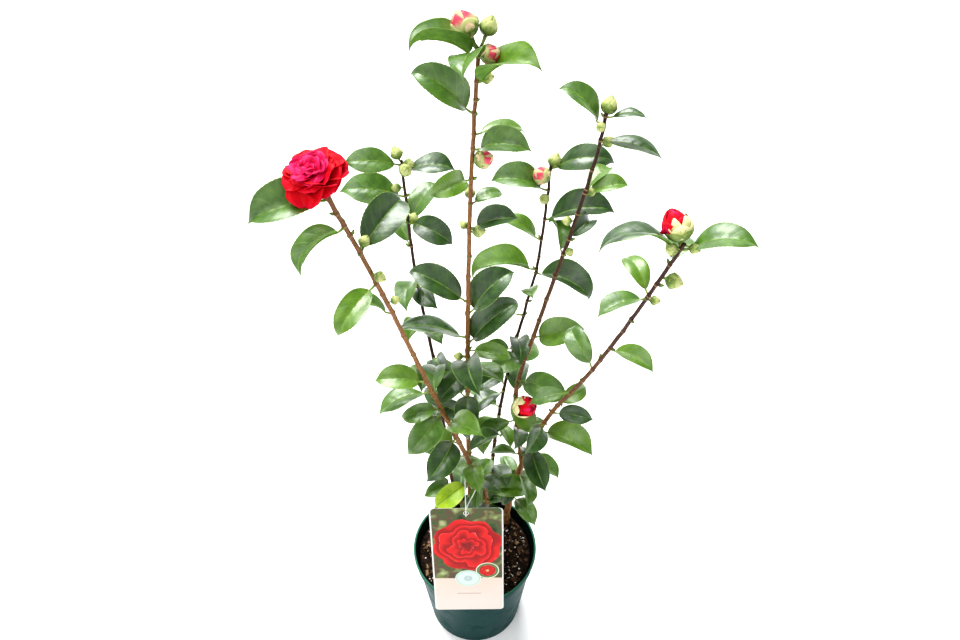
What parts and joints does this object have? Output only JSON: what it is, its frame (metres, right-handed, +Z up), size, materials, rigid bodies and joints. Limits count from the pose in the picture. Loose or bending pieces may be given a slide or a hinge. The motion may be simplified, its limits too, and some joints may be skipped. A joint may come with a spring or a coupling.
{
  "type": "camellia shrub in a nursery pot",
  "caption": "Young open-branched flowering shrub with glossy leaves, a double bloom and swelling buds, rooted in a tapered round plastic pot with a picture label hung on a stem.",
  "frame": {"origin": "centre of the pot's flat underside", "axes": "+Z up, +X to the shrub's right as the picture side of the label is seen, -Y towards the viewer of the label"},
  "size_m": [0.4388, 0.3122, 1.0377],
  "materials": {
    "pot_plastic": "smooth moulded, slight sheen",
    "compost": "coarse, dull, with pale grains",
    "bark": "finely ridged bark",
    "young_bark": "smooth young bark with leaf scars",
    "foliage": "glossy leaves",
    "card": "printed, satin varnish",
    "strap": "satin"
  },
  "bodies": {
    "root": {"pot": "pot_plastic", "soil": "compost", "label_card": "card", "label_loop": "strap", "trunk_left": "bark", "trunk_middle": "bark", "trunk_right": "bark", "stem_leader": "young_bark", "stem_left": "young_bark", "stem_back_left": "young_bark", "stem_back_right": "young_bark", "stem_right": "young_bark", "stem_far_right": "young_bark", "foliage_leader_1": "foliage", "foliage_leader_2": "foliage", "foliage_leader_3": "foliage", "foliage_leader_4": "foliage", "foliage_leader_5": "foliage", "foliage_leader_6": "foliage", "foliage_leader_7": "foliage", "foliage_leader_8": "foliage", "foliage_leader_9": "foliage", "foliage_leader_10": "foliage", "foliage_leader_11": "foliage", "foliage_leader_12": "foliage", "foliage_left_1": "foliage", "foliage_left_2": "foliage", "foliage_left_3": "foliage", "foliage_left_4": "foliage", "foliage_left_5": "foliage", "foliage_left_6": "foliage", "foliage_left_7": "foliage", "foliage_left_8": "foliage", "foliage_left_9": "foliage", "foliage_left_10": "foliage", "foliage_back_left_1": "foliage", "foliage_back_left_2": "foliage", "foliage_back_left_3": "foliage", "foliage_back_left_4": "foliage", "foliage_back_left_5": "foliage", "foliage_back_left_6": "foliage", "foliage_back_right_1": "foliage", "foliage_back_right_2": "foliage", "foliage_back_right_3": "foliage", "foliage_back_right_4": "foliage", "foliage_back_right_5": "foliage", "foliage_back_right_6": "foliage", "foliage_right_1": "foliage", "foliage_right_2": "foliage", "foliage_right_3": "foliage", "foliage_right_4": "foliage", "foliage_right_5": "foliage", "foliage_far_right_1": "foliage", "foliage_far_right_2": "foliage", "foliage_far_right_3": "foliage", "foliage_far_right_4": "foliage", "foliage_far_right_5": "foliage", "foliage_far_right_6": "foliage", "foliage_trunk_right_1": "foliage", "foliage_trunk_right_2": "foliage"}
  },
  "joints": []
}
